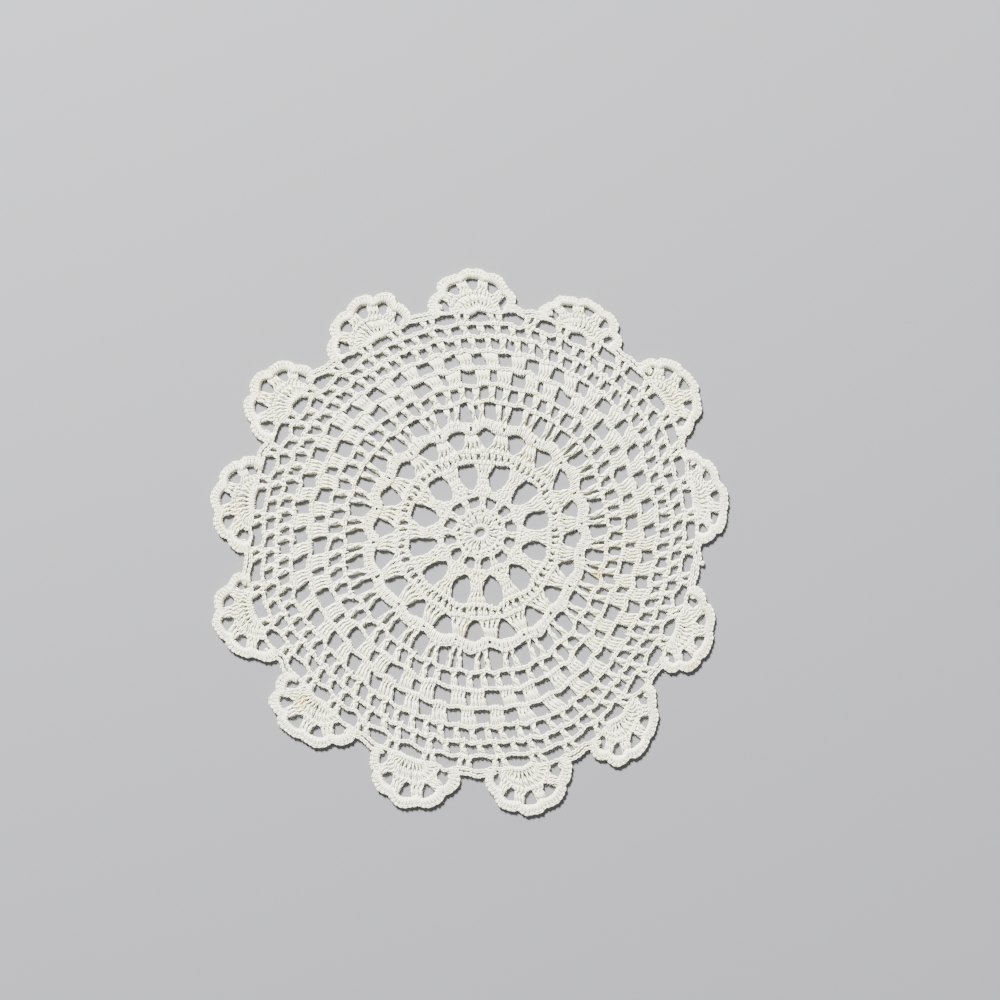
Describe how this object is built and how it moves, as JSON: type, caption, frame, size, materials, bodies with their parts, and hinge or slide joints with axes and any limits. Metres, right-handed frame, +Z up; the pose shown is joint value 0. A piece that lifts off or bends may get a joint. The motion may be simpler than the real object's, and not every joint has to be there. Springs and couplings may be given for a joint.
{
  "type": "lace doily",
  "caption": "Flat round crocheted cotton lace doily with ringed openwork and a scalloped shell edging, laid on a surface.",
  "frame": {"origin": "middle of the outline's box, on the surface that the doily lies on", "axes": "+Z up through the cloth, +Y towards the far edge as laid, +X to the right"},
  "size_m": [0.1888, 0.2003, 0.0016],
  "materials": {
    "cotton": "matt crocheted cotton thread, off-white"
  },
  "bodies": {
    "root": {"doily": "cotton"}
  },
  "joints": []
}
